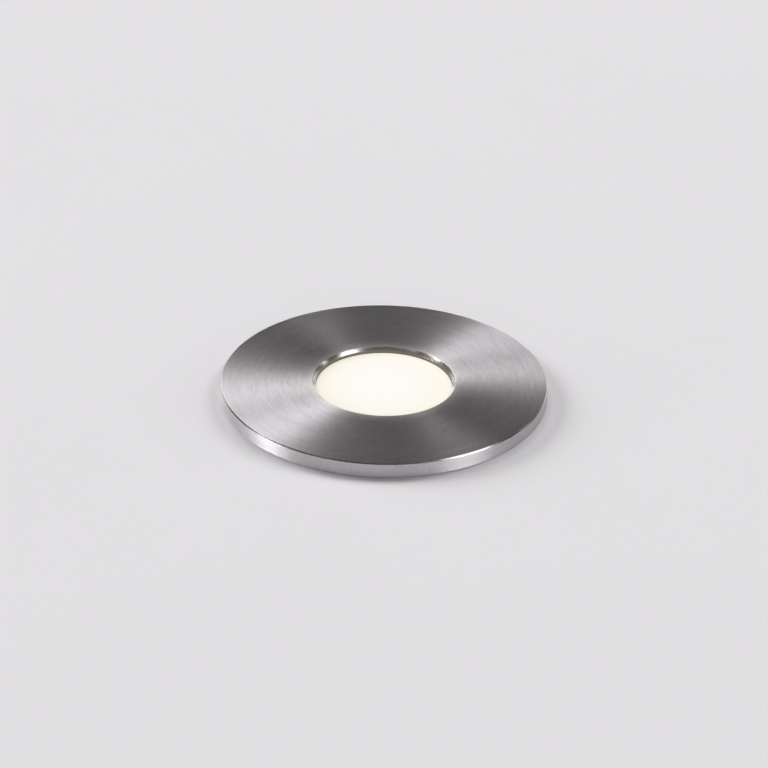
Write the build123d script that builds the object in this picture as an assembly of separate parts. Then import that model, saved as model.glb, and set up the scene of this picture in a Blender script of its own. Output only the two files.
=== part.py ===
"""In ground well light: a small round luminaire that drops into a sleeve set in paving or decking.

All sizes are in millimetres. The origin is on the axis at ground level, with +Z up: the bezel
stands on the ground above z = 0, and the sleeve and everything else hangs below it.
"""

import os
from math import asin, atan2, ceil, cos, pi, radians, sin, sqrt, tan

from build123d import *

# ---- driving sizes ----

# Sleeve that is set into the ground, and its base
sleeve_bore_d = 30.8
sleeve_wall = 1.6
sleeve_length = 44.0
sleeve_key_depth = 0.4
sleeve_key_width = 1.6
sleeve_key_count = 3
sleeve_key_pitch = 11.0
sleeve_mouth_edge = 0.5
sleeve_flute_width = 2.0
sleeve_flute_count = 8
base_cap_t = 2.0
base_edge = 0.5
base_spigot_h = 3.0
base_spigot_wall = 1.8
base_spigot_gap = 0.05
cable_entry_d = 8.5
drain_hole_d = 2.6
drain_hole_count = 6
drain_from_wall = 5.9

# Bezel
bezel_d = 42.0
bezel_t = 2.0
bezel_edge = 0.15
aperture_d = 17.4
aperture_edge = 0.5
bezel_lip_t = 1.4
skirt_gap = 0.4
skirt_wall = 1.9
skirt_depth = 6.5
skirt_edge = 0.3
ground_seal_w = 2.4
ground_seal_t = 0.8
ground_seal_gap = 0.1
ground_seal_from_sleeve = 0.3

# Screw thread between the bezel and the lamp body
thread_pitch = 1.0
thread_depth = 0.45
thread_gap = 0.05
thread_lead_in = 0.25
thread_root_w = 0.16
thread_flank_angle = 30

# Lens and its rings
lens_recess = 0.5
lens_pad_gap = 0.05
lens_pad_edge = 0.05
lens_flange_t = 1.5
lens_flange_gap = 0.1
slip_ring_t = 0.3
slip_ring_w = 3.3
lens_gasket_t = 1.0
lens_gasket_w = 1.9

# Lamp body
neck_length = 4.8
neck_ring_d = 1.0
neck_ring_groove = 1.3
neck_ring_from_skirt_end = 0.2
body_gap = 0.8
cavity_d = 20.2
cavity_step_w = 0.6
spreader_t = 2.0
chamber_d = 16.4
chamber_depth = 9.0
fin_count = 4
fin_t = 1.1
fin_gap = 1.1
fin_depth = 1.4
fin_start = 1.6
fin_edge = 0.2
body_edge = 0.3

# Light engine inside the lamp body
reflector_h = 5.5
reflector_wall = 0.8
reflector_side_gap = 0.25
reflector_mouth_d = 7.2
reflector_flange_h = 0.8
reflector_flange_gap = 0.1
reflector_board_gap = 0.1
reflector_drop = 0.2
board_t = 1.0
board_gap = 0.1
thermal_pad_t = 0.5
thermal_pad_gap = 0.2
led_side = 4.6
led_t = 0.6
led_corner = 0.3
led_dome_d = 3.8
led_dome_h = 1.1
board_screw_from_wall = 2.3
board_screw_d = 2.0
board_screw_head_d = 3.4
board_screw_head_h = 1.2
board_screw_head_edge = 0.4
board_screw_socket_af = 1.3
board_screw_socket_h = 0.8
board_screw_length = 2.6

# Leads from the board to the crimps, and what holds them
lead_d = 0.7
lead_spacing = 1.0
lead_arch_r = 0.9
grommet_d = 2.4
grommet_from_chamber_wall = 0.1
grommet_flange_d = 3.4
grommet_flange_t = 0.4
crimp_d = 1.8
crimp_bore_d = 1.1
crimp_length = 4.0
crimp_stop_t = 1.0
crimp_spacing = 3.2
crimp_from_axis = 1.6
lead_bend_r = 1.0
potting_gap = 1.0

# End cover of the lamp body
cover_t = 2.0
cover_gap = 0.6
cover_edge = 0.4
cover_ring_d = 0.9
cover_ring_from_chamber = 1.1
cover_screw_d = 2.0
cover_screw_head_d = 3.6
cover_screw_head_h = 1.0
cover_screw_socket_af = 1.3
cover_screw_socket_h = 0.8
cover_screw_length = 6.0
cover_screw_from_side = 3.2
cover_screw_count = 4

# Cable gland
gland_cable_d = 6.0
gland_bore_gap = 0.2
gland_spigot_d = 8.0
gland_spigot_up = 0.6
gland_hex_af = 11.0
gland_hex_t = 2.0
gland_corner_drop = 0.5
gland_ring_d = 0.8
gland_ring_from_spigot = 0.7
gland_thread_d = 9.8
gland_thread_length = 3.8
gland_seal_d = 7.9
gland_seal_length = 2.6
gland_seal_proud = 0.3
gland_washer_t = 0.7
gland_washer_gap = 0.1
gland_nut_af = 12.0
gland_nut_gap = 0.5
gland_nut_end_t = 1.2
gland_nut_mouth_gap = 0.3
gland_pitch = 1.0

# Spring clips that grip the sleeve
clip_width = 6.0
clip_side_gap = 0.1
clip_ear_t = 0.8
clip_plate_t = 0.7
clip_boss_d = 2.8
clip_pivot_up = 2.4
clip_arm_length = 5.9
clip_nose_d = 1.5
clip_reach_gap = 0.1
clip_pin_d = 1.5
clip_pin_gap = 0.05
clip_pin_edge = 0.2
clip_pin_length = 12.0
clip_pocket_depth = 4.7
clip_window_gap = 0.5
spring_wire_d = 0.4
spring_mean_d = 2.5
spring_pitch = 0.9
spring_turns = 3
spring_seat_gap = 0.05
spring_lever_leg = 3.6
spring_wall_leg = 1.9

# ---- radii and levels that follow ----

sleeve_bore_r = sleeve_bore_d / 2
sleeve_r = sleeve_bore_r + sleeve_wall
sleeve_floor_z = -sleeve_length
sleeve_foot_z = sleeve_floor_z - base_cap_t

bezel_r = bezel_d / 2
aperture_r = aperture_d / 2
lip_z = bezel_t - bezel_lip_t
skirt_r = sleeve_bore_r - skirt_gap
skirt_bore_r = skirt_r - skirt_wall
ground_seal_in_r = sleeve_r + ground_seal_from_sleeve
ground_seal_out_r = ground_seal_in_r + ground_seal_w

lens_top_z = bezel_t - lens_recess
lens_flange_top_z = lip_z - slip_ring_t
lens_under_z = lens_flange_top_z - lens_flange_t
lens_pad_r = aperture_r - lens_pad_gap
lens_flange_r = skirt_bore_r - lens_flange_gap

neck_top_z = lens_under_z - lens_gasket_t
neck_r = skirt_bore_r - thread_gap
neck_ring_out_r = skirt_bore_r - thread_gap / 2
shoulder_z = neck_top_z - neck_length
neck_ring_low_z = -skirt_depth + neck_ring_from_skirt_end
neck_ring_z = neck_ring_low_z + neck_ring_groove / 2
body_r = sleeve_bore_r - body_gap

cavity_r = cavity_d / 2
cavity_step_r = cavity_r + cavity_step_w
reflector_top_z = neck_top_z - reflector_drop
reflector_low_z = reflector_top_z - reflector_h
board_top_z = reflector_low_z - reflector_board_gap
board_low_z = board_top_z - board_t
cavity_floor_z = board_low_z - thermal_pad_t
chamber_r = chamber_d / 2
chamber_top_z = cavity_floor_z - spreader_t
body_low_z = chamber_top_z - chamber_depth
cover_r = body_r - cover_gap
cover_low_z = body_low_z - cover_t

board_screw_circle_r = cavity_r - board_screw_from_wall
lead_from_axis = chamber_r - grommet_d / 2 - grommet_from_chamber_wall
cover_ring_circle_r = chamber_r + cover_ring_from_chamber
cover_screw_circle_r = body_r - cover_screw_from_side
gland_ring_circle_r = gland_spigot_d / 2 + gland_ring_from_spigot
crimp_low_z = body_low_z + potting_gap
crimp_top_z = crimp_low_z + crimp_length

gland_hex_low_z = cover_low_z - gland_hex_t
gland_thread_r = gland_thread_d / 2
gland_thread_low_z = gland_hex_low_z - gland_thread_length
gland_seal_low_z = gland_thread_low_z - gland_seal_proud
gland_seal_top_z = gland_seal_low_z + gland_seal_length
gland_washer_low_z = gland_seal_low_z - gland_washer_t
gland_nut_top_z = gland_hex_low_z - gland_nut_gap
gland_nut_low_z = gland_washer_low_z - gland_nut_end_t
gland_nut_bore_r = gland_thread_r + thread_gap
gland_bore_r = gland_cable_d / 2 + gland_bore_gap

spring_r = spring_mean_d / 2
spring_outer_r = spring_r + spring_wire_d / 2
clip_pocket_x = body_r - clip_pocket_depth
clip_pivot_from_axis = clip_pocket_x + spring_outer_r + spring_seat_gap
clip_pivot_z = body_low_z + clip_pivot_up
clip_nose_r = clip_nose_d / 2
clip_reach_r = sleeve_bore_r - clip_reach_gap
clip_nose_from_axis = clip_reach_r - clip_nose_r
clip_tilt = asin((clip_nose_from_axis - clip_pivot_from_axis) / clip_arm_length)
clip_nose_z = clip_pivot_z + clip_arm_length * cos(clip_tilt)
clip_plate_start = spring_outer_r + clip_window_gap
clip_pocket_top_z = clip_pivot_z + clip_arm_length + clip_nose_r + clip_side_gap

cut = 0.5


# ---- shapes that several pieces share ----


def turned(*section):
    """A solid turned about the Z axis from its half section, given as radius and height."""
    return revolve(make_face(Plane.XZ * Polyline(*section, close=True)), Axis.Z)


def ring(outer_r, inner_r, low_z, high_z):
    return turned((inner_r, low_z), (outer_r, low_z), (outer_r, high_z), (inner_r, high_z))


def disc(radius, low_z, high_z):
    return Pos(0, 0, low_z) * extrude(Circle(radius), high_z - low_z)


def round_ring(circle_r, wire_d, centre_z):
    return Pos(0, 0, centre_z) * Torus(circle_r, wire_d / 2)


def hex_prism(across_flats, low_z, high_z):
    corner_r = across_flats / sqrt(3)
    return Pos(0, 0, low_z) * extrude(RegularPolygon(corner_r, 6), high_z - low_z)


def rounded_hex(across_flats, low_z, high_z):
    """A hexagon whose lower corners are turned off, as on a nut."""
    corner_r = across_flats / sqrt(3)
    blank = turned(
        (0, low_z),
        (across_flats / 2, low_z),
        (corner_r, low_z + gland_corner_drop),
        (corner_r, high_z),
        (0, high_z),
    )
    return hex_prism(across_flats, low_z, high_z) & blank


def thread_grooves(outer_r, top_z, low_z, pitch, depth):
    """The spaces between the ridges of a male thread, one ring for each pitch."""
    first_top = top_z - thread_lead_in
    root_r = outer_r - depth
    out_r = outer_r + cut
    root_half = thread_root_w / 2
    out_half = root_half + (depth + cut) * tan(radians(thread_flank_angle))
    spaces = []
    for index in range(int((first_top - low_z) / pitch)):
        middle = first_top - pitch * (index + 0.5)
        section = (
            (root_r, middle - root_half),
            (out_r, middle - out_half),
            (out_r, middle + out_half),
            (root_r, middle + root_half),
        )
        spaces.append(turned(*section))
    return spaces


def mirrored(piece):
    """The same piece on the other side of the lamp, half a turn round."""
    return Rot(0, 0, 180) * piece


# ---- sleeve ----


def recess_sleeve():
    tube = turned(
        (sleeve_bore_r, sleeve_floor_z),
        (sleeve_r, sleeve_floor_z),
        (sleeve_r, 0),
        (sleeve_bore_r + sleeve_mouth_edge, 0),
        (sleeve_bore_r, -sleeve_mouth_edge),
    )
    for index in range(sleeve_key_count):
        top = -sleeve_key_pitch * (index + 1) + sleeve_key_width / 2
        tube -= ring(sleeve_r + cut, sleeve_r - sleeve_key_depth, top - sleeve_key_width, top)
    flute = Pos(sleeve_r - sleeve_key_depth, 0, -sleeve_key_pitch) * Box(
        sleeve_key_depth + cut,
        sleeve_flute_width,
        sleeve_key_pitch * (sleeve_key_count - 1),
        align=(Align.MIN, Align.CENTER, Align.MAX),
    )
    for place in PolarLocations(0, sleeve_flute_count, 180 / sleeve_flute_count):
        tube -= place * flute
    return tube


def sleeve_base():
    spigot_r = sleeve_bore_r - base_spigot_gap
    spigot_in_r = spigot_r - base_spigot_wall
    cap = turned(
        (0, sleeve_foot_z),
        (sleeve_r - base_edge, sleeve_foot_z),
        (sleeve_r, sleeve_foot_z + base_edge),
        (sleeve_r, sleeve_floor_z),
        (0, sleeve_floor_z),
    )
    cap += ring(spigot_r, spigot_in_r, sleeve_floor_z, sleeve_floor_z + base_spigot_h)
    cap -= disc(cable_entry_d / 2, sleeve_foot_z - cut, sleeve_floor_z + cut)
    hole = disc(drain_hole_d / 2, sleeve_foot_z - cut, sleeve_floor_z + cut)
    for place in PolarLocations(sleeve_bore_r - drain_from_wall, drain_hole_count, 180 / drain_hole_count):
        cap -= place * hole
    return cap


# ---- bezel and lens ----


def bezel_ring():
    recess_in_r = ground_seal_in_r - ground_seal_gap
    recess_out_r = ground_seal_out_r + ground_seal_gap
    return turned(
        (aperture_r, lip_z),
        (aperture_r, bezel_t - aperture_edge),
        (aperture_r + aperture_edge, bezel_t),
        (bezel_r - bezel_edge, bezel_t),
        (bezel_r, bezel_t - bezel_edge),
        (bezel_r, bezel_edge),
        (bezel_r - bezel_edge, 0),
        (recess_out_r, 0),
        (recess_out_r, ground_seal_t),
        (recess_in_r, ground_seal_t),
        (recess_in_r, 0),
        (skirt_r, 0),
        (skirt_r, skirt_edge - skirt_depth),
        (skirt_r - skirt_edge, -skirt_depth),
        (skirt_bore_r, -skirt_depth),
        (skirt_bore_r, lip_z),
    )


def ground_seal():
    return ring(ground_seal_out_r, ground_seal_in_r, 0, ground_seal_t)


def lens_slip_ring():
    return ring(lens_flange_r, lens_flange_r - slip_ring_w, lens_flange_top_z, lip_z)


def lens_diffuser():
    return turned(
        (0, lens_under_z),
        (lens_flange_r, lens_under_z),
        (lens_flange_r, lens_flange_top_z),
        (lens_pad_r, lens_flange_top_z),
        (lens_pad_r, lens_top_z - lens_pad_edge),
        (lens_pad_r - lens_pad_edge, lens_top_z),
        (0, lens_top_z),
    )


def lens_gasket():
    return ring(lens_flange_r, lens_flange_r - lens_gasket_w, neck_top_z, lens_under_z)


# ---- lamp body ----


def clip_pocket():
    pocket = Box(
        body_r + cut - clip_pocket_x,
        clip_width + 2 * clip_side_gap,
        clip_pocket_top_z - body_low_z + cut,
        align=(Align.MIN, Align.CENTER, Align.MIN),
    )
    pin_hole = across_pin(clip_pin_d / 2, 2 * body_r)
    pocket = Pos(clip_pocket_x, 0, body_low_z - cut) * pocket
    return [pocket, Pos(clip_pivot_from_axis, 0, clip_pivot_z) * pin_hole]


def fin_space(top):
    """One groove between two fins, with the fins' edges broken."""
    root_r = body_r - fin_depth
    lip_r = body_r - fin_edge
    out_r = body_r + cut
    flare = fin_edge + cut
    return turned(
        (root_r, top - fin_gap),
        (lip_r, top - fin_gap),
        (out_r, top - fin_gap - flare),
        (out_r, top + flare),
        (lip_r, top),
        (root_r, top),
    )


def lamp_body():
    body = turned(
        (0, chamber_top_z),
        (chamber_r, chamber_top_z),
        (chamber_r, body_low_z),
        (body_r - body_edge, body_low_z),
        (body_r, body_low_z + body_edge),
        (body_r, shoulder_z - body_edge),
        (body_r - body_edge, shoulder_z),
        (neck_r, shoulder_z),
        (neck_r, neck_top_z),
        (cavity_step_r, neck_top_z),
        (cavity_step_r, reflector_top_z - reflector_flange_h),
        (cavity_r, reflector_top_z - reflector_flange_h),
        (cavity_r, cavity_floor_z),
        (0, cavity_floor_z),
    )
    ring_top_z = neck_ring_low_z + neck_ring_groove
    body -= thread_grooves(neck_r, neck_top_z, ring_top_z, thread_pitch, thread_depth)
    body -= ring(neck_r + cut, neck_ring_out_r - neck_ring_d, neck_ring_low_z, ring_top_z)
    for index in range(fin_count):
        body -= fin_space(shoulder_z - fin_start - index * (fin_t + fin_gap))
    for tool in clip_pocket():
        body -= [tool, mirrored(tool)]
    lead_hole = Pos(-lead_from_axis, 0) * disc(grommet_d / 2, chamber_top_z - cut, cavity_floor_z + cut)
    body -= lead_hole
    for place in board_screw_places():
        body -= place * disc(board_screw_d / 2, board_top_z - board_screw_length, board_top_z)
    for place in cover_screw_places():
        body -= place * disc(cover_screw_d / 2, body_low_z - cut, cover_low_z + cover_screw_length)
    return body


def neck_o_ring():
    return round_ring(neck_ring_out_r - neck_ring_d / 2, neck_ring_d, neck_ring_z)


def body_cover():
    cover = turned(
        (0, cover_low_z),
        (cover_r - cover_edge, cover_low_z),
        (cover_r, cover_low_z + cover_edge),
        (cover_r, body_low_z),
        (0, body_low_z),
    )
    cover -= disc(gland_spigot_d / 2, cover_low_z - cut, body_low_z + cut)
    cover -= ring(
        cover_ring_circle_r + cover_ring_d / 2,
        cover_ring_circle_r - cover_ring_d / 2,
        body_low_z - cover_ring_d,
        body_low_z + cut,
    )
    cover -= ring(
        gland_ring_circle_r + gland_ring_d / 2,
        gland_ring_circle_r - gland_ring_d / 2,
        cover_low_z - cut,
        cover_low_z + gland_ring_d,
    )
    for place in cover_screw_places():
        cover -= place * cover_screw()
    return cover


def cover_o_ring():
    return round_ring(cover_ring_circle_r, cover_ring_d, body_low_z - cover_ring_d / 2)


def cover_screw_places():
    return PolarLocations(cover_screw_circle_r, cover_screw_count, 180 / cover_screw_count)


def cover_screw():
    """Countersunk screw with its head flush in the underside of the cover."""
    head_r = cover_screw_head_d / 2
    shank_r = cover_screw_d / 2
    return turned(
        (0, cover_low_z),
        (head_r, cover_low_z),
        (shank_r, cover_low_z + cover_screw_head_h),
        (shank_r, cover_low_z + cover_screw_length),
        (0, cover_low_z + cover_screw_length),
    )


def cover_screws():
    socket = hex_prism(cover_screw_socket_af, cover_low_z - cut, cover_low_z + cover_screw_socket_h)
    screw = cover_screw() - socket
    return [place * screw for place in cover_screw_places()]


# ---- light engine ----


def thermal_pad():
    pad = disc(cavity_r - thermal_pad_gap, cavity_floor_z, board_low_z)
    pad -= Pos(-lead_from_axis, 0) * disc(grommet_flange_d / 2, cavity_floor_z - cut, board_low_z + cut)
    for place in board_screw_places():
        pad -= place * disc(board_screw_d / 2, cavity_floor_z - cut, board_low_z + cut)
    return pad


def led_board():
    board = disc(cavity_r - board_gap, board_low_z, board_top_z)
    board -= Pos(-lead_from_axis, 0) * disc(grommet_d / 2, board_low_z - cut, board_top_z + cut)
    for place in board_screw_places():
        board -= place * disc(board_screw_d / 2, board_low_z - cut, board_top_z + cut)
    return board


def led_package():
    package = Pos(0, 0, board_top_z) * Box(
        led_side, led_side, led_t, align=(Align.CENTER, Align.CENTER, Align.MIN)
    )
    return chamfer(package.edges().filter_by(Axis.Z), led_corner)


def led_dome():
    dome_r = led_dome_d / 2
    dome_z = board_top_z + led_t
    sphere_r = (dome_r**2 + led_dome_h**2) / (2 * led_dome_h)
    cap = Pos(0, 0, dome_z + led_dome_h - sphere_r) * Sphere(sphere_r)
    return cap & disc(led_dome_d, dome_z, dome_z + led_dome_h)


def board_screw_places():
    return PolarLocations(board_screw_circle_r, 2, 90)


def board_screws():
    head_top_z = board_top_z + board_screw_head_h
    shank = disc(board_screw_d / 2, board_top_z - board_screw_length, board_top_z)
    head = disc(board_screw_head_d / 2, board_top_z, head_top_z)
    head = fillet(head.edges().sort_by(Axis.Z)[-1], board_screw_head_edge)
    socket = hex_prism(board_screw_socket_af, head_top_z - board_screw_socket_h, head_top_z + cut)
    screw = shank + head - socket
    return [place * screw for place in board_screw_places()]


def mixing_reflector():
    """A white cone that spreads the light of the one LED over the whole lens."""
    flange_r = cavity_step_r - reflector_flange_gap
    flange_low_z = reflector_top_z - reflector_flange_h
    mouth_r = reflector_mouth_d / 2
    rim_r = cavity_r - reflector_side_gap - reflector_wall
    return turned(
        (mouth_r, reflector_low_z),
        (mouth_r + reflector_wall, reflector_low_z),
        (rim_r + reflector_wall, flange_low_z),
        (flange_r, flange_low_z),
        (flange_r, reflector_top_z),
        (rim_r, reflector_top_z),
    )


# ---- leads, crimps and potting ----


def lead_path(side):
    """From its pad on the board over an arch, down through the grommet and in to its crimp."""
    near_y = side * lead_spacing / 2
    pad_y = near_y + side * 2 * lead_arch_r
    arch = ThreePointArc(
        (-lead_from_axis, pad_y, board_top_z),
        (-lead_from_axis, near_y + side * lead_arch_r, board_top_z + lead_arch_r),
        (-lead_from_axis, near_y, board_top_z),
    )
    crimp_y = side * crimp_spacing / 2
    bend_z = chamber_top_z - lead_bend_r - lead_d
    run = FilletPolyline(
        (-lead_from_axis, near_y, board_top_z),
        (-lead_from_axis, near_y, bend_z),
        (-crimp_from_axis, crimp_y, bend_z - lead_bend_r),
        (-crimp_from_axis, crimp_y, crimp_top_z),
        radius=lead_bend_r,
    )
    return Wire([*arch.edges(), *run.edges()])


def lead(side):
    path = lead_path(side)
    return sweep(Plane(path @ 0, z_dir=path % 0) * Circle(lead_d / 2), path)


def lead_grommet():
    body = disc(grommet_d / 2, chamber_top_z, cavity_floor_z)
    body += disc(grommet_flange_d / 2, cavity_floor_z, cavity_floor_z + grommet_flange_t)
    for side in (-1, 1):
        bore = disc(lead_d / 2, chamber_top_z - cut, cavity_floor_z + cut)
        body -= Pos(0, side * lead_spacing / 2) * bore
    return Pos(-lead_from_axis, 0) * body


def crimp_sleeve(side):
    """A crimp on the end of each lead, open below for a conductor of the supply cord."""
    sleeve = disc(crimp_d / 2, crimp_low_z, crimp_top_z)
    sleeve -= disc(crimp_bore_d / 2, crimp_low_z - cut, crimp_top_z - crimp_stop_t)
    return Pos(-crimp_from_axis, side * crimp_spacing / 2) * sleeve


def potting_plug():
    plug = disc(chamber_r, crimp_low_z, chamber_top_z)
    for side in (-1, 1):
        room = disc(crimp_d / 2, crimp_low_z - cut, crimp_top_z)
        plug -= Pos(-crimp_from_axis, side * crimp_spacing / 2) * room
        plug -= lead(side)
    for place in cover_screw_places():
        plug -= place * cover_screw()
    return plug


# ---- cable gland ----


def gland_body():
    seal_r = gland_seal_d / 2
    body = turned(
        (gland_bore_r, gland_seal_top_z),
        (gland_bore_r, body_low_z + gland_spigot_up),
        (gland_spigot_d / 2, body_low_z + gland_spigot_up),
        (gland_spigot_d / 2, gland_hex_low_z),
        (gland_thread_r, gland_hex_low_z),
        (gland_thread_r, gland_thread_low_z),
        (seal_r, gland_thread_low_z),
        (seal_r, gland_seal_top_z),
    )
    hexagon = rounded_hex(gland_hex_af, gland_hex_low_z, cover_low_z)
    hexagon -= disc(gland_spigot_d / 2 - cut, gland_hex_low_z - cut, cover_low_z + cut)
    body += hexagon
    return body - thread_grooves(
        gland_thread_r, gland_nut_top_z, gland_thread_low_z, gland_pitch, thread_depth
    )


def gland_o_ring():
    return round_ring(gland_ring_circle_r, gland_ring_d, cover_low_z + gland_ring_d / 2)


def gland_seal():
    return ring(gland_seal_d / 2, gland_cable_d / 2, gland_seal_low_z, gland_seal_top_z)


def gland_washer():
    washer_r = gland_nut_bore_r - gland_washer_gap
    return ring(washer_r, gland_bore_r, gland_washer_low_z, gland_seal_low_z)


def gland_nut():
    nut = rounded_hex(gland_nut_af, gland_nut_low_z, gland_nut_top_z)
    nut -= disc(gland_nut_bore_r, gland_washer_low_z, gland_nut_top_z + cut)
    mouth_r = gland_bore_r + gland_nut_mouth_gap
    return nut - disc(mouth_r, gland_nut_low_z - cut, gland_washer_low_z + cut)


# ---- spring clips ----


def clip_point(up, out):
    """A place on the lever: how far it is along the arm from the pivot, and how far outward of it."""
    x = clip_pivot_from_axis + up * sin(clip_tilt) + out * cos(clip_tilt)
    z = clip_pivot_z + up * cos(clip_tilt) - out * sin(clip_tilt)
    return (x, z)


def clip_outline(start, end, back, front):
    """A straight length of the lever, seen from the side."""
    ends = ((start, front), (end, front), (end, back), (start, back))
    corners = [clip_point(up, out) for up, out in ends]
    return make_face(Plane.XZ * Polyline(*corners, close=True))


def across_pin(radius, length):
    """A round bar that lies across the swing, as the pin does."""
    return Rot(90, 0, 0) * Cylinder(radius, length)


def across(face, thickness, centre_y=0.0):
    """A plate of that outline, as thick as stated across the swing, centred at centre_y."""
    plate = extrude(face, thickness / 2, both=True)
    return Pos(0, centre_y, 0) * plate


def clip_lever():
    """Two ears on a pin, joined above the spring by a plate that ends in a rounded nose."""
    front = clip_nose_r
    ear = clip_outline(0, clip_arm_length, -front, front)
    plate = clip_outline(clip_plate_start, clip_arm_length, front - clip_plate_t, front)
    ear_y = (clip_width - clip_ear_t) / 2
    pivot = Pos(clip_pivot_from_axis, 0, clip_pivot_z)
    boss = pivot * across_pin(clip_boss_d / 2, clip_width)
    boss -= pivot * Box(clip_boss_d * 2, clip_width - 2 * clip_ear_t, clip_boss_d * 2)
    lever = across(ear, clip_ear_t, ear_y) + across(ear, clip_ear_t, -ear_y)
    lever += across(plate, clip_width)
    lever += Pos(clip_nose_from_axis, 0, clip_nose_z) * across_pin(clip_nose_r, clip_width)
    lever += boss
    lever -= pivot * across_pin(clip_pin_d / 2 + clip_pin_gap, clip_width + cut)
    return lever & disc(clip_reach_r, body_low_z, shoulder_z)


def clip_pin():
    pin = across_pin(clip_pin_d / 2, clip_pin_length)
    pin = chamfer(pin.edges().filter_by(GeomType.CIRCLE), clip_pin_edge)
    return Pos(clip_pivot_from_axis, 0, clip_pivot_z) * pin


def coil_point(angle):
    return Vector(spring_r * cos(angle), spring_pitch * angle / (2 * pi), spring_r * sin(angle))


def coil_direction(angle):
    return Vector(-spring_r * sin(angle), spring_pitch / (2 * pi), spring_r * cos(angle)).normalized()


def coil_arcs(start, end):
    """Two arcs that run on smoothly from one point of the coil to the next."""
    first, last = coil_point(start), coil_point(end)
    leaving, arriving = coil_direction(start), coil_direction(end)
    span = last - first
    square = 2 * (1 - leaving.dot(arriving))
    linear = 2 * span.dot(leaving + arriving)
    reach = (-linear + sqrt(linear**2 + 4 * square * span.dot(span))) / (2 * square)
    corner = last - arriving * reach
    middle = (first + leaving * reach + corner) * 0.5
    return [
        Edge.make_tangent_arc(first, leaving, middle),
        Edge.make_tangent_arc(middle, corner - middle, last),
    ]


def clip_spring():
    """Torsion spring round the pin, one leg behind the lever and one on the pocket's back wall."""
    contact = clip_nose_r - clip_plate_t - spring_wire_d / 2 - spring_seat_gap
    slant = atan2(spring_r, spring_lever_leg) + asin(contact / sqrt(spring_r**2 + spring_lever_leg**2))
    start = pi - clip_tilt - slant
    end = pi + 2 * pi * spring_turns
    steps = ceil((end - start) / (pi / 2))
    angles = [start + (end - start) * index / steps for index in range(steps + 1)]
    lever_end = coil_point(start) - coil_direction(start) * spring_lever_leg
    wall_end = coil_point(end) + coil_direction(end) * spring_wall_leg
    edges = [Edge.make_line(lever_end, coil_point(start))]
    for first, last in zip(angles, angles[1:]):
        edges += coil_arcs(first, last)
    edges.append(Edge.make_line(coil_point(end), wall_end))
    path = Wire(edges)
    wire = sweep(Plane(path @ 0, z_dir=path % 0) * Circle(spring_wire_d / 2), path)
    middle_y = (coil_point(start).Y + coil_point(end).Y) / 2
    return Pos(clip_pivot_from_axis, -middle_y, clip_pivot_z) * wire


# ---- write every piece ----


def write(name, piece):
    solids = piece if isinstance(piece, list) else [piece]
    shape = solids[0] if len(solids) == 1 else Compound(children=[Part(s.wrapped) for s in solids])
    export_step(shape, f"parts/{name}.step")


pieces = {
    "recess_sleeve": recess_sleeve(),
    "sleeve_base": sleeve_base(),
    "bezel_ring": bezel_ring(),
    "ground_seal": ground_seal(),
    "lens_slip_ring": lens_slip_ring(),
    "lens_diffuser": lens_diffuser(),
    "lens_gasket": lens_gasket(),
    "lamp_body": lamp_body(),
    "neck_o_ring": neck_o_ring(),
    "thermal_pad": thermal_pad(),
    "led_board": led_board(),
    "led_package": led_package(),
    "led_dome": led_dome(),
    "board_screws": board_screws(),
    "mixing_reflector": mixing_reflector(),
    "lead_red": lead(1),
    "lead_black": lead(-1),
    "lead_grommet": lead_grommet(),
    "crimp_red": crimp_sleeve(1),
    "crimp_black": crimp_sleeve(-1),
    "potting_plug": potting_plug(),
    "body_cover": body_cover(),
    "cover_o_ring": cover_o_ring(),
    "cover_screws": cover_screws(),
    "gland_body": gland_body(),
    "gland_o_ring": gland_o_ring(),
    "gland_seal": gland_seal(),
    "gland_washer": gland_washer(),
    "gland_nut": gland_nut(),
    "clip_lever_right": clip_lever(),
    "clip_lever_left": mirrored(clip_lever()),
    "clip_pin_right": clip_pin(),
    "clip_pin_left": mirrored(clip_pin()),
    "clip_spring_right": clip_spring(),
    "clip_spring_left": mirrored(clip_spring()),
}

os.makedirs("parts", exist_ok=True)
for name, piece in pieces.items():
    write(name, piece)

print("spring: least gap between turns", round(spring_pitch - spring_wire_d, 2))
print("clip pivot", round(clip_pivot_from_axis, 3), round(clip_pivot_z, 3))
print("lowest point of the lamp", round(gland_nut_low_z, 2))
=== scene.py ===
import math

import bpy
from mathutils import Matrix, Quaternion, Vector


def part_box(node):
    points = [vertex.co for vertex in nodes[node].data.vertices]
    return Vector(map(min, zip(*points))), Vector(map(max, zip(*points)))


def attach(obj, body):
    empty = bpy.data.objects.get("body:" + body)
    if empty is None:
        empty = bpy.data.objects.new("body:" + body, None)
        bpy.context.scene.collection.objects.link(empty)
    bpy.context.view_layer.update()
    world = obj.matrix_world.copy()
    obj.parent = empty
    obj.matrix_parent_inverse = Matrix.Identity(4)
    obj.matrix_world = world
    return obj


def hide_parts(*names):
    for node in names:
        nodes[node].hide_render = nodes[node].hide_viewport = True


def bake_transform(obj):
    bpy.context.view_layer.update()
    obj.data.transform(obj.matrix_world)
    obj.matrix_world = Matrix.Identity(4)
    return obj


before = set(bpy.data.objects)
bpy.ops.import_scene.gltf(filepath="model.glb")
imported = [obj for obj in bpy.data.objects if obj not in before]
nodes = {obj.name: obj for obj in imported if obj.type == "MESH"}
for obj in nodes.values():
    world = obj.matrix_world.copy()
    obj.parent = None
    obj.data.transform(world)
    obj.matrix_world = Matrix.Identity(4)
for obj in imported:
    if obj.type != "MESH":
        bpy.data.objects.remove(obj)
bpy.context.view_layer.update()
mm = 0.001  # the scene is in metres, and the sizes below are in mm
print("frame loaded with", len(nodes), "nodes")


def boxInMm(node):
    low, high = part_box(node)
    return low / mm, high / mm


bezelLow, bezelHigh = boxInMm("bezel_ring")
bezelRadius = bezelHigh.x
bezelTop = bezelHigh.z
sleeveRadius = boxInMm("recess_sleeve")[1].x


# the camera

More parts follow.
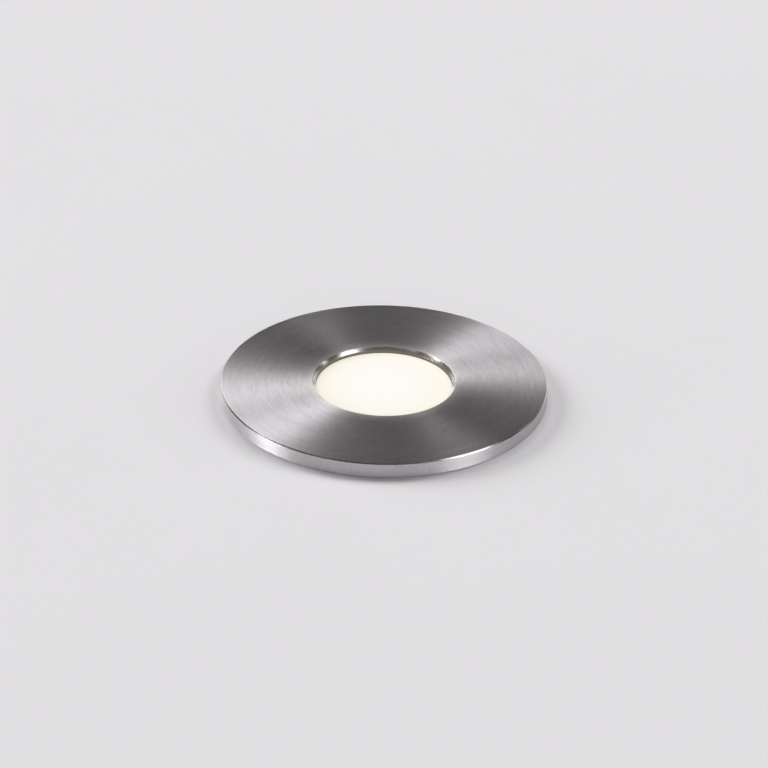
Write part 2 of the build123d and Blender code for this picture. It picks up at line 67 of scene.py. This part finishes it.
cameraLook = {
    "elevation": 29.1,  # degrees above the ground
    "distance": 349.0,  # mm from the middle of the bezel's face
    "roll": 1.1,  # degrees, the right side of the picture lies lower
    "focalLength": 127.4,
    "sensorWidth": 36.0,
    "aimBelow": 0.49,  # mm in the picture, below the middle of the face
    "clipStart": 10.0,
    "clipEnd": 20000.0,
}


def addCamera(look):
    tilt = math.radians(look["elevation"])
    toCamera = Vector((0, -math.cos(tilt), math.sin(tilt)))
    pictureUp = Vector((0, math.sin(tilt), math.cos(tilt)))
    aim = Vector((0, 0, bezelTop)) - pictureUp * look["aimBelow"]
    data = bpy.data.cameras.new("camera")
    data.lens = look["focalLength"]
    data.sensor_width = look["sensorWidth"]
    data.clip_start = look["clipStart"] * mm
    data.clip_end = look["clipEnd"] * mm
    camera = bpy.data.objects.new("camera", data)
    camera.location = (aim + toCamera * look["distance"]) * mm
    roll = Quaternion((0, 0, 1), math.radians(look["roll"]))
    camera.rotation_euler = (toCamera.to_track_quat("Z", "Y") @ roll).to_euler()
    bpy.context.scene.collection.objects.link(camera)
    bpy.context.scene.camera = camera


addCamera(cameraLook)
bpy.context.scene.view_settings.view_transform = "Standard"
print("camera placed")


# turned meshes

def roundedSection(corners, steps):
    # the corners with an arc in place of each one that has an edge radius
    points = []
    for index, (radius, height, edge) in enumerate(corners):
        here = Vector((radius, height))
        if not edge:
            points.append(here)
            continue
        back = (Vector(corners[index - 1][:2]) - here).normalized()
        ahead = (Vector(corners[(index + 1) % len(corners)][:2]) - here).normalized()
        half = back.angle(ahead) / 2
        centre = here + (back + ahead).normalized() * (edge / math.sin(half))
        first = here + back * (edge / math.tan(half)) - centre
        last = here + ahead * (edge / math.tan(half)) - centre
        start = math.atan2(first.y, first.x)
        turn = (math.atan2(last.y, last.x) - start + math.pi) % (2 * math.pi) - math.pi
        for step in range(steps + 1):
            angle = start + turn * step / steps
            points.append(centre + Vector((math.cos(angle), math.sin(angle))) * edge)
    return points


onAxis = 1e-6  # mm, a point nearer to the axis than this is one vertex


def turned(name, corners, segments=256, steps=5, closed=True):
    # corners hold radius, height and edge radius in mm, outward over the top and back below
    vertices = []
    rings = []
    for point in roundedSection(corners, steps):
        if point.x < onAxis:
            rings.append([len(vertices)] * segments)
            vertices.append((0, 0, point.y * mm))
            continue
        rings.append(list(range(len(vertices), len(vertices) + segments)))
        for segment in range(segments):
            angle = 2 * math.pi * segment / segments
            along, aside = point.x * math.cos(angle), point.x * math.sin(angle)
            vertices.append((along * mm, aside * mm, point.y * mm))
    faces = []
    following = rings[1:] + rings[:1] if closed else rings[1:]
    for near, far in zip(rings, following):
        for segment in range(segments):
            after = (segment + 1) % segments
            face = [near[segment], far[segment], far[after], near[after]]
            face = list(dict.fromkeys(face))  # a quad on the axis becomes a triangle
            if len(face) > 2:
                faces.append(face)
    mesh = bpy.data.meshes.new(name)
    mesh.from_pydata(vertices, [], faces)
    return smoothPiece(name, mesh)


def smoothPiece(name, mesh, sharpAngle=35):
    mesh.validate()
    mesh.shade_smooth()
    mesh.set_sharp_from_angle(angle=math.radians(sharpAngle))
    piece = bpy.data.objects.new(name, mesh)
    bpy.context.scene.collection.objects.link(piece)
    weighted = piece.modifiers.new("weightedNormals", "WEIGHTED_NORMAL")
    weighted.weight = 100  # large faces rule the normals
    weighted.keep_sharp = True
    return piece


def seat(piece, body, slotName, *replaced):
    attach(piece, body)
    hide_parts(*replaced)


def dress(material, *names):
    for name in names:
        for materialSlot in nodes[name].material_slots:
            materialSlot.material = material


# materials

def put(tree, kind, inputs=None, **settings):
    made = tree.nodes.new("ShaderNode" + kind)
    for key, value in settings.items():
        setattr(made, key, value)
    for key, value in (inputs or {}).items():
        if isinstance(value, bpy.types.NodeSocket):
            tree.links.new(value, made.inputs[key])
        else:
            made.inputs[key].default_value = value
    return made


def newMaterial(name, sockets):
    material = bpy.data.materials.new(name)
    material.use_nodes = True
    tree = material.node_tree
    tree.nodes.clear()
    shader = tree.nodes.new("ShaderNodeBsdfPrincipled")
    output = tree.nodes.new("ShaderNodeOutputMaterial")
    tree.links.new(shader.outputs["BSDF"], output.inputs["Surface"])
    for socket, value in sockets.items():
        shader.inputs[socket].default_value = value
    return material, tree, shader


def objectPlace(tree):
    return put(tree, "TexCoord").outputs["Object"]


def roundAxis(tree, place):
    # direction from the axis, distance from it, and that distance plus the height
    parts = put(tree, "SeparateXYZ", {0: place})
    flat = put(tree, "CombineXYZ", {"X": parts.outputs["X"], "Y": parts.outputs["Y"]}).outputs[0]
    radius = put(tree, "VectorMath", {0: flat}, operation="LENGTH").outputs["Value"]
    around = put(tree, "VectorMath", {0: flat}, operation="NORMALIZE").outputs["Vector"]
    across = put(tree, "Math", {0: radius, 1: parts.outputs["Z"]}, operation="ADD").outputs[0]
    return around, radius, across


def noise(tree, vector, detail):
    return put(tree, "TexNoise", {"Vector": vector, "Scale": 1.0, "Detail": detail}).outputs["Fac"]


def lineNoise(tree, around, across, pitch, length, detail=2.0):
    # lines that run round the axis, pitch in mm apart, length as a share of a radian
    turnPart = put(tree, "VectorMath", {0: around, "Scale": 1 / length}, operation="SCALE").outputs[0]
    stepPart = put(tree, "Math", {0: across, 1: 1 / (pitch * mm)}, operation="MULTIPLY").outputs[0]
    lift = put(tree, "CombineXYZ", {"Z": stepPart}).outputs[0]
    vector = put(tree, "VectorMath", {0: turnPart, 1: lift}, operation="ADD").outputs[0]
    return noise(tree, vector, detail)


def grainNoise(tree, place, size, detail=3.0):
    # size in mm along x, y and z
    perSize = [1 / (side * mm) for side in size]
    vector = put(tree, "VectorMath", {0: place, 1: perSize}, operation="MULTIPLY").outputs[0]
    return noise(tree, vector, detail)


def mixed(tree, share, first, second):
    return put(tree, "Mix", {0: share, 2: first, 3: second}).outputs[0]


def mixedColour(tree, share, first, second):
    colours = {0: share, 6: (*first, 1), 7: (*second, 1)}
    return put(tree, "Mix", colours, data_type="RGBA").outputs[2]


noiseLow, noiseHigh = 0.3, 0.7  # most of a noise lies between these


def spread(tree, value, low, high):
    ends = {0: value, 1: noiseLow, 2: noiseHigh, 3: low, 4: high}
    return put(tree, "MapRange", ends).outputs[0]


def shade(tree, value, dark, light):
    ramp = put(tree, "ValToRGB", {0: value})
    for end, position, colour in zip(ramp.color_ramp.elements, (noiseLow, noiseHigh), (dark, light)):
        end.position = position
        end.color = (*colour, 1)
    return ramp.outputs[0]


def addRelief(tree, shader, look, relief):
    bump = {"Strength": look["bump"], "Distance": look["depth"] * mm, "Height": relief}
    tree.links.new(put(tree, "Bump", bump).outputs[0], shader.inputs["Normal"])


def surface(tree, shader, look, tint, relief):
    # tint drives colour and roughness, relief drives the bump
    tree.links.new(shade(tree, tint, look["dark"], look["light"]), shader.inputs["Base Color"])
    tree.links.new(spread(tree, tint, *look["roughness"]), shader.inputs["Roughness"])
    addRelief(tree, shader, look, relief)


def addPaintedLensGlow(tree, shader, radius, paintedGlow):
    # painted glow: a warm emission on the metal round the aperture, standing in for the lens's glow,
    # which fades outward
    away = put(tree, "Math", {0: radius, 1: paintedGlow["start"] * mm}, operation="SUBTRACT").outputs[0]
    scale = -1 / (paintedGlow["length"] * mm)
    faded = put(tree, "Math", {0: away, 1: scale}, operation="MULTIPLY").outputs[0]
    share = put(tree, "Math", {0: faded}, operation="EXPONENT").outputs[0]
    glow = mixedColour(tree, share, (0, 0, 0), paintedGlow["colour"])
    tree.links.new(glow, shader.inputs["Emission Color"])
    shader.inputs["Emission Strength"].default_value = 1.0


def turnedFinish(name, look):
    # lathe or brush lines round the axis of the lamp
    material, tree, shader = newMaterial(name, look["sockets"])
    place = objectPlace(tree)
    around, radius, across = roundAxis(tree, place)
    fine = lineNoise(tree, around, across, look["finePitch"], look["fineLength"], detail=3.0)
    broad = lineNoise(tree, around, across, look["broadPitch"], look["broadLength"])
    scuff = grainNoise(tree, place, look["scuff"])
    lines = mixed(tree, look["broadShare"], fine, broad)
    surface(tree, shader, look, mixed(tree, look["scuffShare"], lines, scuff), fine)
    tangent = put(tree, "Tangent", direction_type="RADIAL", axis="Z").outputs[0]
    tree.links.new(tangent, shader.inputs["Tangent"])
    # the painted lens glow, where the look has one
    if "paintedGlow" in look:
        addPaintedLensGlow(tree, shader, radius, look["paintedGlow"])
    return material


def grainedFinish(name, look):
    # moulded, cast, pressed or drawn surfaces
    material, tree, shader = newMaterial(name, look["sockets"])
    place = objectPlace(tree)
    grain = grainNoise(tree, place, look["grain"])
    cloud = grainNoise(tree, place, [look["cloud"]] * 3, detail=2.0)
    surface(tree, shader, look, mixed(tree, look["cloudShare"], grain, cloud), grain)
    return material


# bezel

bezelForm = {
    "boreRadius": 8.8,  # mm
    "boreChamfer": 0.4,  # width of the chamfer round the aperture
    "outerChamfer": 0.15,
    "chamferEdge": 0.03,  # rounding of the chamfers' own edges
    "lipThickness": 1.4,
    "skirtRadius": 15.0,
    "skirtBore": 13.1,
    "skirtEdge": 0.3,
    "sealRoom": 0.1,
    "sealWidth": 2.4,
    "smallEdge": 0.06,
}
boreRim = bezelForm["boreRadius"] + bezelForm["boreChamfer"]

brushedLook = {
    "dark": (0.51, 0.488, 0.506),
    "light": (0.73, 0.699, 0.724),
    "finePitch": 0.11,  # mm between the brush lines
    "fineLength": 0.12,  # share of a radian
    "broadPitch": 0.45,
    "broadLength": 0.25,
    "broadShare": 0.5,
    "scuff": (0.14, 1.5, 0.7),  # mm, width and length of the cross marks
    "scuffShare": 0.35,
    "roughness": (0.42, 0.50),
    "bump": 0.5,
    "depth": 0.004,  # mm
    # painted glow of the lens on the brushed face near the aperture
    "paintedGlow": {"start": boreRim, "length": 0.6, "colour": (0.15, 0.14, 0.115)},  # mm
    "sockets": {"Metallic": 1.0, "Anisotropic": 0.86, "Anisotropic Rotation": 0.25},
}

# the bore's dark colour is painted shade in the recess under the chamfer; its roughness is the
# unbrushed finish
shadedBoreLook = {
    "dark": (0.16, 0.15, 0.14),
    "light": (0.22, 0.21, 0.195),
    "grain": (0.1, 0.1, 0.1),
    "cloud": 1.5,
    "cloudShare": 0.4,
    "roughness": (0.42, 0.52),
    "bump": 0.2,
    "depth": 0.002,
    "sockets": {"Metallic": 1.0},
}

polishedLook = {
    "dark": (0.66, 0.64, 0.655),
    "light": (0.74, 0.72, 0.735),
    "finePitch": 0.1,
    "fineLength": 1.2,
    "broadPitch": 0.3,
    "broadLength": 2.0,
    "broadShare": 0.3,
    "scuff": (0.3, 0.3, 0.3),
    "scuffShare": 0.2,
    "roughness": (0.19, 0.22),
    "bump": 0.03,
    "depth": 0.001,
    # painted glow of the lens on the polished chamfer
    "paintedGlow": {"start": bezelForm["boreRadius"], "length": 0.4, "colour": (0.07, 0.056, 0.042)},
    "sockets": {"Metallic": 1.0, "Anisotropic": 0.3, "Anisotropic Rotation": 0.25},
}


def finishBezel(bezel, chamferFoot, lipUnderside, boreReach):
    # the chamfers are polished, and the bore below them is rougher, unbrushed steel painted dark as
    # shade in the recess
    bezel.data.materials.append(turnedFinish("circularBrushedSteel", brushedLook))
    bezel.data.materials.append(turnedFinish("polishedChamfer", polishedLook))
    bezel.data.materials.append(grainedFinish("boreWithPaintedShade", shadedBoreLook))
    for face in bezel.data.polygons:
        height, slope = face.center.z / mm, face.normal.z
        if height > chamferFoot and 0.3 < slope < 0.95:  # neither a wall nor the flat face
            face.material_index = 1
        elif lipUnderside < height < chamferFoot and face.center.xy.length / mm < boreReach:
            # the bore below the chamfer, painted dark as shade
            face.material_index = 2


def makeBezel(form):
    sealHigh = boxInMm("ground_seal")[1]
    recessOuter = sealHigh.x + form["sealRoom"]
    recessInner = sealHigh.x - form["sealWidth"] - form["sealRoom"]
    lipUnderside = bezelTop - form["lipThickness"]
    bore, chamferFoot = form["boreRadius"], bezelTop - form["boreChamfer"]
    small, edge, drop = form["smallEdge"], form["chamferEdge"], form["outerChamfer"]
    bezel = turned("bezel_plate", [
        (bore, lipUnderside, small),
        (bore, chamferFoot, edge),
        (boreRim, bezelTop, edge),
        (bezelRadius - drop, bezelTop, edge),
        (bezelRadius, bezelTop - drop, edge),
        (bezelRadius, drop, edge),
        (bezelRadius - drop, 0, edge),
        (recessOuter, 0, small),
        (recessOuter, sealHigh.z, small),
        (recessInner, sealHigh.z, small),
        (recessInner, 0, small),
        (form["skirtRadius"], 0, small),
        (form["skirtRadius"], bezelLow.z, form["skirtEdge"]),
        (form["skirtBore"], bezelLow.z, small),
        (form["skirtBore"], lipUnderside, small),
    ])
    finishBezel(bezel, chamferFoot, lipUnderside, bore + edge)
    return bezel


seat(makeBezel(bezelForm), "bezel", "bezel_steel", "bezel_ring")

rubberLook = {
    "dark": (0.022, 0.022, 0.023),
    "light": (0.045, 0.045, 0.047),
    "grain": (0.12, 0.12, 0.12),  # mm along x, y and z
    "cloud": 2.5,  # mm, size of its large patches
    "cloudShare": 0.5,
    "roughness": (0.55, 0.72),
    "bump": 0.4,
    "depth": 0.006,
    "sockets": {"Specular IOR Level": 0.35, "Sheen Weight": 0.08},
}

dress(
    grainedFinish("blackRubber", rubberLook),
    "ground_seal", "neck_o_ring", "cover_o_ring", "gland_o_ring", "gland_seal", "lead_grommet",
)
print("bezel made")


# lens

lensForm = {
    "padRadius": 8.75,  # mm
    "padDrop": 0.26,  # top of the pad under that of the CAD lens
    "padEdge": 0.05,
    "flangeTop": 0.3,  # height above the ground
    "smallEdge": 0.05,
}

lensLook = {
    "middle": (0.60, 0.585, 0.55),
    "rim": (0.56, 0.54, 0.49),
    "glowMiddle": (0.629, 0.613, 0.575),
    "glowRim": (0.665, 0.636, 0.541),
    "rimStart": 0.6,  # share of the radius where the glow begins to fall
    "grain": (0.25, 0.25, 0.25),
    "roughness": (0.32, 0.42),
    "bump": 0.2,
    "depth": 0.002,
    "sockets": {"Emission Strength": 1.0, "Specular IOR Level": 0.3},
}


def opalGlow(look, lensRadius):
    material, tree, shader = newMaterial("opalGlow", look["sockets"])
    place = objectPlace(tree)
    radius = roundAxis(tree, place)[1]
    ends = {0: radius, 1: look["rimStart"] * lensRadius * mm, 2: lensRadius * mm}
    fall = put(tree, "MapRange", ends, interpolation_type="SMOOTHSTEP").outputs[0]
    body = mixedColour(tree, fall, look["middle"], look["rim"])
    glow = mixedColour(tree, fall, look["glowMiddle"], look["glowRim"])
    tree.links.new(body, shader.inputs["Base Color"])
    tree.links.new(glow, shader.inputs["Emission Color"])
    grain = grainNoise(tree, place, look["grain"])
    tree.links.new(spread(tree, grain, *look["roughness"]), shader.inputs["Roughness"])
    addRelief(tree, shader, look, grain)
    return material


def makeLens(form):
    low, high = boxInMm("lens_diffuser")
    padTop = high.z - form["padDrop"]
    lens = turned("lens_pad", [
        (0, padTop, 0),
        (form["padRadius"], padTop, form["padEdge"]),
        (form["padRadius"], form["flangeTop"], form["smallEdge"]),
        (high.x, form["flangeTop"], form["smallEdge"]),
        (high.x, low.z, form["smallEdge"]),
        (0, low.z, 0),
    ], closed=False)
    lens.data.materials.append(opalGlow(lensLook, form["padRadius"]))
    return lens


seat(makeLens(lensForm), "lens", "opal_lens", "lens_diffuser")

slipLook = {
    "dark": (0.76, 0.76, 0.74),
    "light": (0.85, 0.85, 0.83),
    "grain": (0.3, 0.3, 0.3),
    "cloud": 3.0,
    "cloudShare": 0.4,
    "roughness": (0.42, 0.55),
    "bump": 0.2,
    "depth": 0.003,
    "sockets": {"Specular IOR Level": 0.4, "Subsurface Weight": 0.15, "Subsurface Scale": 0.5 * mm},
}

siliconeLook = {
    "dark": (0.68, 0.67, 0.64),
    "light": (0.78, 0.77, 0.74),
    "grain": (0.2, 0.2, 0.2),
    "cloud": 2.0,
    "cloudShare": 0.5,
    "roughness": (0.45, 0.6),
    "bump": 0.3,
    "depth": 0.004,
    "sockets": {"Specular IOR Level": 0.45, "Subsurface Weight": 0.4, "Subsurface Scale": 0.8 * mm},
}

dress(grainedFinish("whitePtfe", slipLook), "lens_slip_ring", "gland_washer")
dress(grainedFinish("whiteSilicone", siliconeLook), "lens_gasket")
print("lens made")


# lamp body

anodisedLook = {
    "dark": (0.56, 0.565, 0.57),
    "light": (0.68, 0.685, 0.69),
    "finePitch": 0.09,
    "fineLength": 1.5,
    "broadPitch": 0.6,
    "broadLength": 3.0,
    "broadShare": 0.35,
    "scuff": (0.15, 0.15, 1.0),
    "scuffShare": 0.25,
    "roughness": (0.36, 0.48),
    "bump": 0.35,
    "depth": 0.004,
    "sockets": {"Metallic": 1.0, "Anisotropic": 0.35, "Anisotropic Rotation": 0.25},
}

screwLook = {
    "dark": (0.50, 0.50, 0.51),
    "light": (0.66, 0.66, 0.67),
    "grain": (0.15, 0.15, 0.4),
    "cloud": 1.5,
    "cloudShare": 0.4,
    "roughness": (0.25, 0.38),
    "bump": 0.2,
    "depth": 0.002,
    "sockets": {"Metallic": 1.0},
}

dress(turnedFinish("anodisedAluminium", anodisedLook), "lamp_body", "body_cover")
dress(grainedFinish("plainSteel", screwLook), "board_screws", "cover_screws")

potLook = {
    "dark": (0.035, 0.035, 0.04),
    "light": (0.065, 0.065, 0.07),
    "grain": (0.5, 0.5, 0.5),
    "cloud": 4.0,
    "cloudShare": 0.6,
    "roughness": (0.22, 0.45),
    "bump": 0.3,
    "depth": 0.02,
    "sockets": {"Specular IOR Level": 0.5},
}

dress(grainedFinish("castResin", potLook), "potting_plug")
print("lamp body dressed")


# light engine

padLook = {
    "dark": (0.36, 0.38, 0.40),
    "light": (0.48, 0.50, 0.52),
    "grain": (0.1, 0.1, 0.1),
    "cloud": 2.0,
    "cloudShare": 0.4,
    "roughness": (0.7, 0.85),
    "bump": 0.4,
    "depth": 0.008,
    "sockets": {"Specular IOR Level": 0.3},
}

boardLook = {
    "dark": (0.80, 0.81, 0.80),
    "light": (0.88, 0.89, 0.88),
    "grain": (0.08, 0.08, 0.08),
    "cloud": 3.0,
    "cloudShare": 0.5,
    "roughness": (0.3, 0.42),
    "bump": 0.2,
    "depth": 0.002,
    "sockets": {"Coat Weight": 0.2, "Coat Roughness": 0.2},
}

ceramicLook = {
    "dark": (0.83, 0.82, 0.78),
    "light": (0.91, 0.90, 0.86),
    "grain": (0.04, 0.04, 0.04),
    "cloud": 0.8,
    "cloudShare": 0.3,
    "roughness": (0.45, 0.6),
    "bump": 0.3,
    "depth": 0.002,
    "sockets": {"Specular IOR Level": 0.5},
}

phosphorLook = {
    "dark": (0.86, 0.64, 0.14),
    "light": (0.96, 0.80, 0.26),
    "grain": (0.05, 0.05, 0.05),
    "cloud": 0.6,
    "cloudShare": 0.4,
    "roughness": (0.08, 0.16),
    "bump": 0.1,
    "depth": 0.001,
    "sockets": {
        "Coat Weight": 1.0,
        "Coat Roughness": 0.05,
        "Emission Color": (1.0, 0.85, 0.55, 1),
        "Emission Strength": 1.0,
    },
}

reflectorLook = {
    "dark": (0.86, 0.86, 0.84),
    "light": (0.92, 0.92, 0.90),
    "grain": (0.15, 0.15, 0.15),
    "cloud": 3.0,
    "cloudShare": 0.4,
    "roughness": (0.3, 0.4),
    "bump": 0.15,
    "depth": 0.003,
    "sockets": {"Specular IOR Level": 0.5},
}

dress(grainedFinish("thermalPad", padLook), "thermal_pad")
dress(grainedFinish("solderMask", boardLook), "led_board")
dress(grainedFinish("whiteCeramic", ceramicLook), "led_package")
dress(grainedFinish("phosphor", phosphorLook), "led_dome")
dress(grainedFinish("satinReflector", reflectorLook), "mixing_reflector")

leadLook = {
    "grain": (0.06, 0.06, 0.3),
    "cloud": 1.5,
    "cloudShare": 0.4,
    "roughness": (0.35, 0.5),
    "bump": 0.3,
    "depth": 0.003,
    "sockets": {"Specular IOR Level": 0.45},
}

leadColours = {
    "red": {"dark": (0.47, 0.02, 0.02), "light": (0.62, 0.04, 0.035)},
    "black": {"dark": (0.02, 0.02, 0.02), "light": (0.04, 0.04, 0.042)},
}

tinLook = {
    "dark": (0.60, 0.60, 0.58),
    "light": (0.78, 0.78, 0.76),
    "grain": (0.12, 0.12, 0.12),
    "cloud": 0.8,
    "cloudShare": 0.5,
    "roughness": (0.2, 0.4),
    "bump": 0.3,
    "depth": 0.004,
    "sockets": {"Metallic": 1.0},
}

for colour, shades in leadColours.items():
    dress(grainedFinish(f"{colour}Insulation", {**leadLook, **shades}), f"lead_{colour}")
dress(grainedFinish("tinnedCrimp", tinLook), "crimp_red", "crimp_black")
print("light engine and leads dressed")


# cable gland

glandLook = {
    "dark": (0.60, 0.57, 0.50),
    "light": (0.69, 0.66, 0.58),
    "grain": (0.07, 0.07, 0.25),
    "cloud": 1.6,
    "cloudShare": 0.4,
    "roughness": (0.24, 0.31),
    "bump": 0.25,
    "depth": 0.002,
    "sockets": {"Metallic": 1.0},
}

dress(grainedFinish("nickelPlatedBrass", glandLook), "gland_body", "gland_nut")


# clips

stripLook = {
    "dark": (0.48, 0.48, 0.49),
    "light": (0.64, 0.64, 0.65),
    "grain": (0.08, 0.08, 2.0),
    "cloud": 2.0,
    "cloudShare": 0.3,
    "roughness": (0.28, 0.42),
    "bump": 0.3,
    "depth": 0.003,
    "sockets": {"Metallic": 1.0},
}

wireLook = {
    "dark": (0.42, 0.42, 0.43),
    "light": (0.58, 0.58, 0.59),
    "grain": (0.1, 0.1, 0.1),
    "cloud": 0.8,
    "cloudShare": 0.4,
    "roughness": (0.22, 0.36),
    "bump": 0.2,
    "depth": 0.002,
    "sockets": {"Metallic": 1.0},
}


def bendSpring(side, material):
    # a copy of the CAD spring's mesh, baked where the spring stands, in place of the hidden CAD node
    nodeName = f"clip_spring_{side}"
    spring = bpy.data.objects.new(f"spring_wire_{side}", nodes[nodeName].data.copy())
    bpy.context.scene.collection.objects.link(spring)
    spring.data.materials.clear()
    spring.data.materials.append(material)
    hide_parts(nodeName)
    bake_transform(spring)


dress(grainedFinish("pressedStrip", stripLook), "clip_lever_left", "clip_lever_right")
drawnWire = grainedFinish("drawnWire", wireLook)
dress(drawnWire, "clip_pin_left", "clip_pin_right")
for side in ("left", "right"):
    bendSpring(side, drawnWire)
print("gland and clips dressed")


# ground sleeve

sleeveLook = {
    "dark": (0.028, 0.028, 0.03),
    "light": (0.052, 0.052, 0.055),
    "grain": (0.16, 0.16, 0.16),
    "cloud": 6.0,
    "cloudShare": 0.45,
    "roughness": (0.5, 0.66),
    "bump": 0.5,
    "depth": 0.012,
    "sockets": {"Specular IOR Level": 0.4},
}

dress(grainedFinish("erodedBlack", sleeveLook), "recess_sleeve", "sleeve_base")
print("sleeve dressed")


# floor and light

floorLook = {
    "reach": 2500.0,  # mm
    "drop": 0.02,  # under the bezel
    "holeGap": 0.05,  # round the sleeve
    "light": (0.80, 0.785, 0.80),
    "dark": (0.79, 0.775, 0.79),
    "patch": 60.0,  # mm, size of its faint patches
    "sockets": {"Specular IOR Level": 0.2, "Roughness": 0.85},
}


def makeFloor(look):
    floor = turned("floor", [
        (sleeveRadius + look["holeGap"], -look["drop"], 0),
        (look["reach"], -look["drop"], 0),
    ], closed=False)
    material, tree, shader = newMaterial("palePaper", look["sockets"])
    cells = {"Vector": objectPlace(tree), "Scale": 1 / (look["patch"] * mm)}
    patch = put(tree, "TexNoise", cells).outputs["Fac"]
    tree.links.new(shade(tree, patch, look["dark"], look["light"]), shader.inputs["Base Color"])
    clear = put(tree, "BsdfTransparent")
    below = put(tree, "NewGeometry").outputs["Backfacing"]  # from underground the floor is clear
    mix = put(tree, "MixShader", {0: below, 1: shader.outputs[0], 2: clear.outputs[0]})
    tree.links.new(mix.outputs[0], tree.nodes["Material Output"].inputs["Surface"])
    floor.data.materials.append(material)
    return floor


floor = makeFloor(floorLook)

roomLook = {
    "horizon": (0.80, 0.80, 0.80),
    "above": (0.05, 0.05, 0.05),
    "horizonEnd": 0.1,  # sine of the angle above the ground
    "aboveStart": 0.3,
}


def makeRoom(look):
    world = bpy.data.worlds.new("room")
    world.use_nodes = True
    bpy.context.scene.world = world
    tree = world.node_tree
    tree.nodes.clear()
    place = put(tree, "TexCoord").outputs["Generated"]
    height = put(tree, "SeparateXYZ", {0: place}).outputs["Z"]
    rise = put(tree, "MapRange", {0: height, 1: look["horizonEnd"], 2: look["aboveStart"]}).outputs[0]
    colour = mixedColour(tree, rise, look["horizon"], look["above"])
    background = put(tree, "Background", {"Color": colour, "Strength": 1.0})
    put(tree, "OutputWorld", {"Surface": background.outputs[0]})


makeRoom(roomLook)

# the first boxes light the lamp alone, and the floor boxes light the floor alone
# azimuth is in degrees round from the right, and size is in shares of the distance
softBoxes = {
    "left": {"azimuth": 141.1, "elevation": 46.9, "size": (0.756, 0.281), "brightness": 4.18},
    "backLeft": {"azimuth": 118.9, "elevation": 24.8, "size": (0.398, 0.241), "brightness": 6.75},
    "lowLeft": {"azimuth": -170.4, "elevation": 6.5, "size": (0.323, 0.75), "brightness": 9.83},
    "right": {"azimuth": -35.2, "elevation": 4.7, "size": (0.427, 0.486), "brightness": 6.13},
    "highRight": {"azimuth": -17.4, "elevation": 44.7, "size": (0.401, 0.381), "brightness": 2.19},
    "lowFront": {"azimuth": -92.9, "elevation": 14.1, "size": (1.598, 0.08), "brightness": 3.29},
    "overhead": {"azimuth": -92.2, "elevation": 74.1, "size": (1.285, 0.096), "brightness": 0.81},
    "backRight": {"azimuth": 30.0, "elevation": 29.8, "size": (0.18, 0.08), "brightness": 1.97},
}
floorBoxes = {
    "floorRight": {"azimuth": 33, "elevation": 43, "size": (0.30, 0.57), "brightness": 8.1},
    "floorLeft": {"azimuth": 150, "elevation": 25, "size": (0.60, 0.50), "brightness": 8.2},
    "floorBack": {"azimuth": 105, "elevation": 57, "size": (0.40, 0.40), "brightness": 5.2},
    "floorLow": {"azimuth": 0, "elevation": 18, "size": (0.40, 0.33), "brightness": 4.0},
    "floorFront": {"azimuth": -90, "elevation": 18, "size": (0.33, 0.33), "brightness": 2.7},
}
boxDistance = 1500.0  # mm
floorBoxDistance = 6000.0  # far enough to light the floor evenly


def onlyFor(name, receiver, state):
    # a group for light linking that names or leaves out the receiver
    group = bpy.data.collections.new(name)
    group.objects.link(receiver)
    group.collection_objects[0].light_linking.link_state = state
    return group


def addSoftBox(name, look, distance, group):
    turn, rise = math.radians(look["azimuth"]), math.radians(look["elevation"])
    away = Vector((math.cos(turn) * math.cos(rise), math.sin(turn) * math.cos(rise), math.sin(rise)))
    light = bpy.data.lights.new(name, "AREA")
    light.shape = "RECTANGLE"
    light.size, light.size_y = (share * distance * mm for share in look["size"])
    light.energy = look["brightness"] * math.pi * light.size * light.size_y  # watts
    box = bpy.data.objects.new(name, light)
    box.location = away * distance * mm
    box.rotation_euler = away.to_track_quat("Z", "Y").to_euler()
    box.visible_camera = False
    box.light_linking.receiver_collection = group
    bpy.context.scene.collection.objects.link(box)


lampOnly = onlyFor("lampOnly", floor, "EXCLUDE")
floorOnly = onlyFor("floorOnly", floor, "INCLUDE")
for boxName, boxLook in softBoxes.items():
    addSoftBox(boxName, boxLook, boxDistance, lampOnly)
for boxName, boxLook in floorBoxes.items():
    addSoftBox(boxName, boxLook, floorBoxDistance, floorOnly)
print("floor and lights placed")
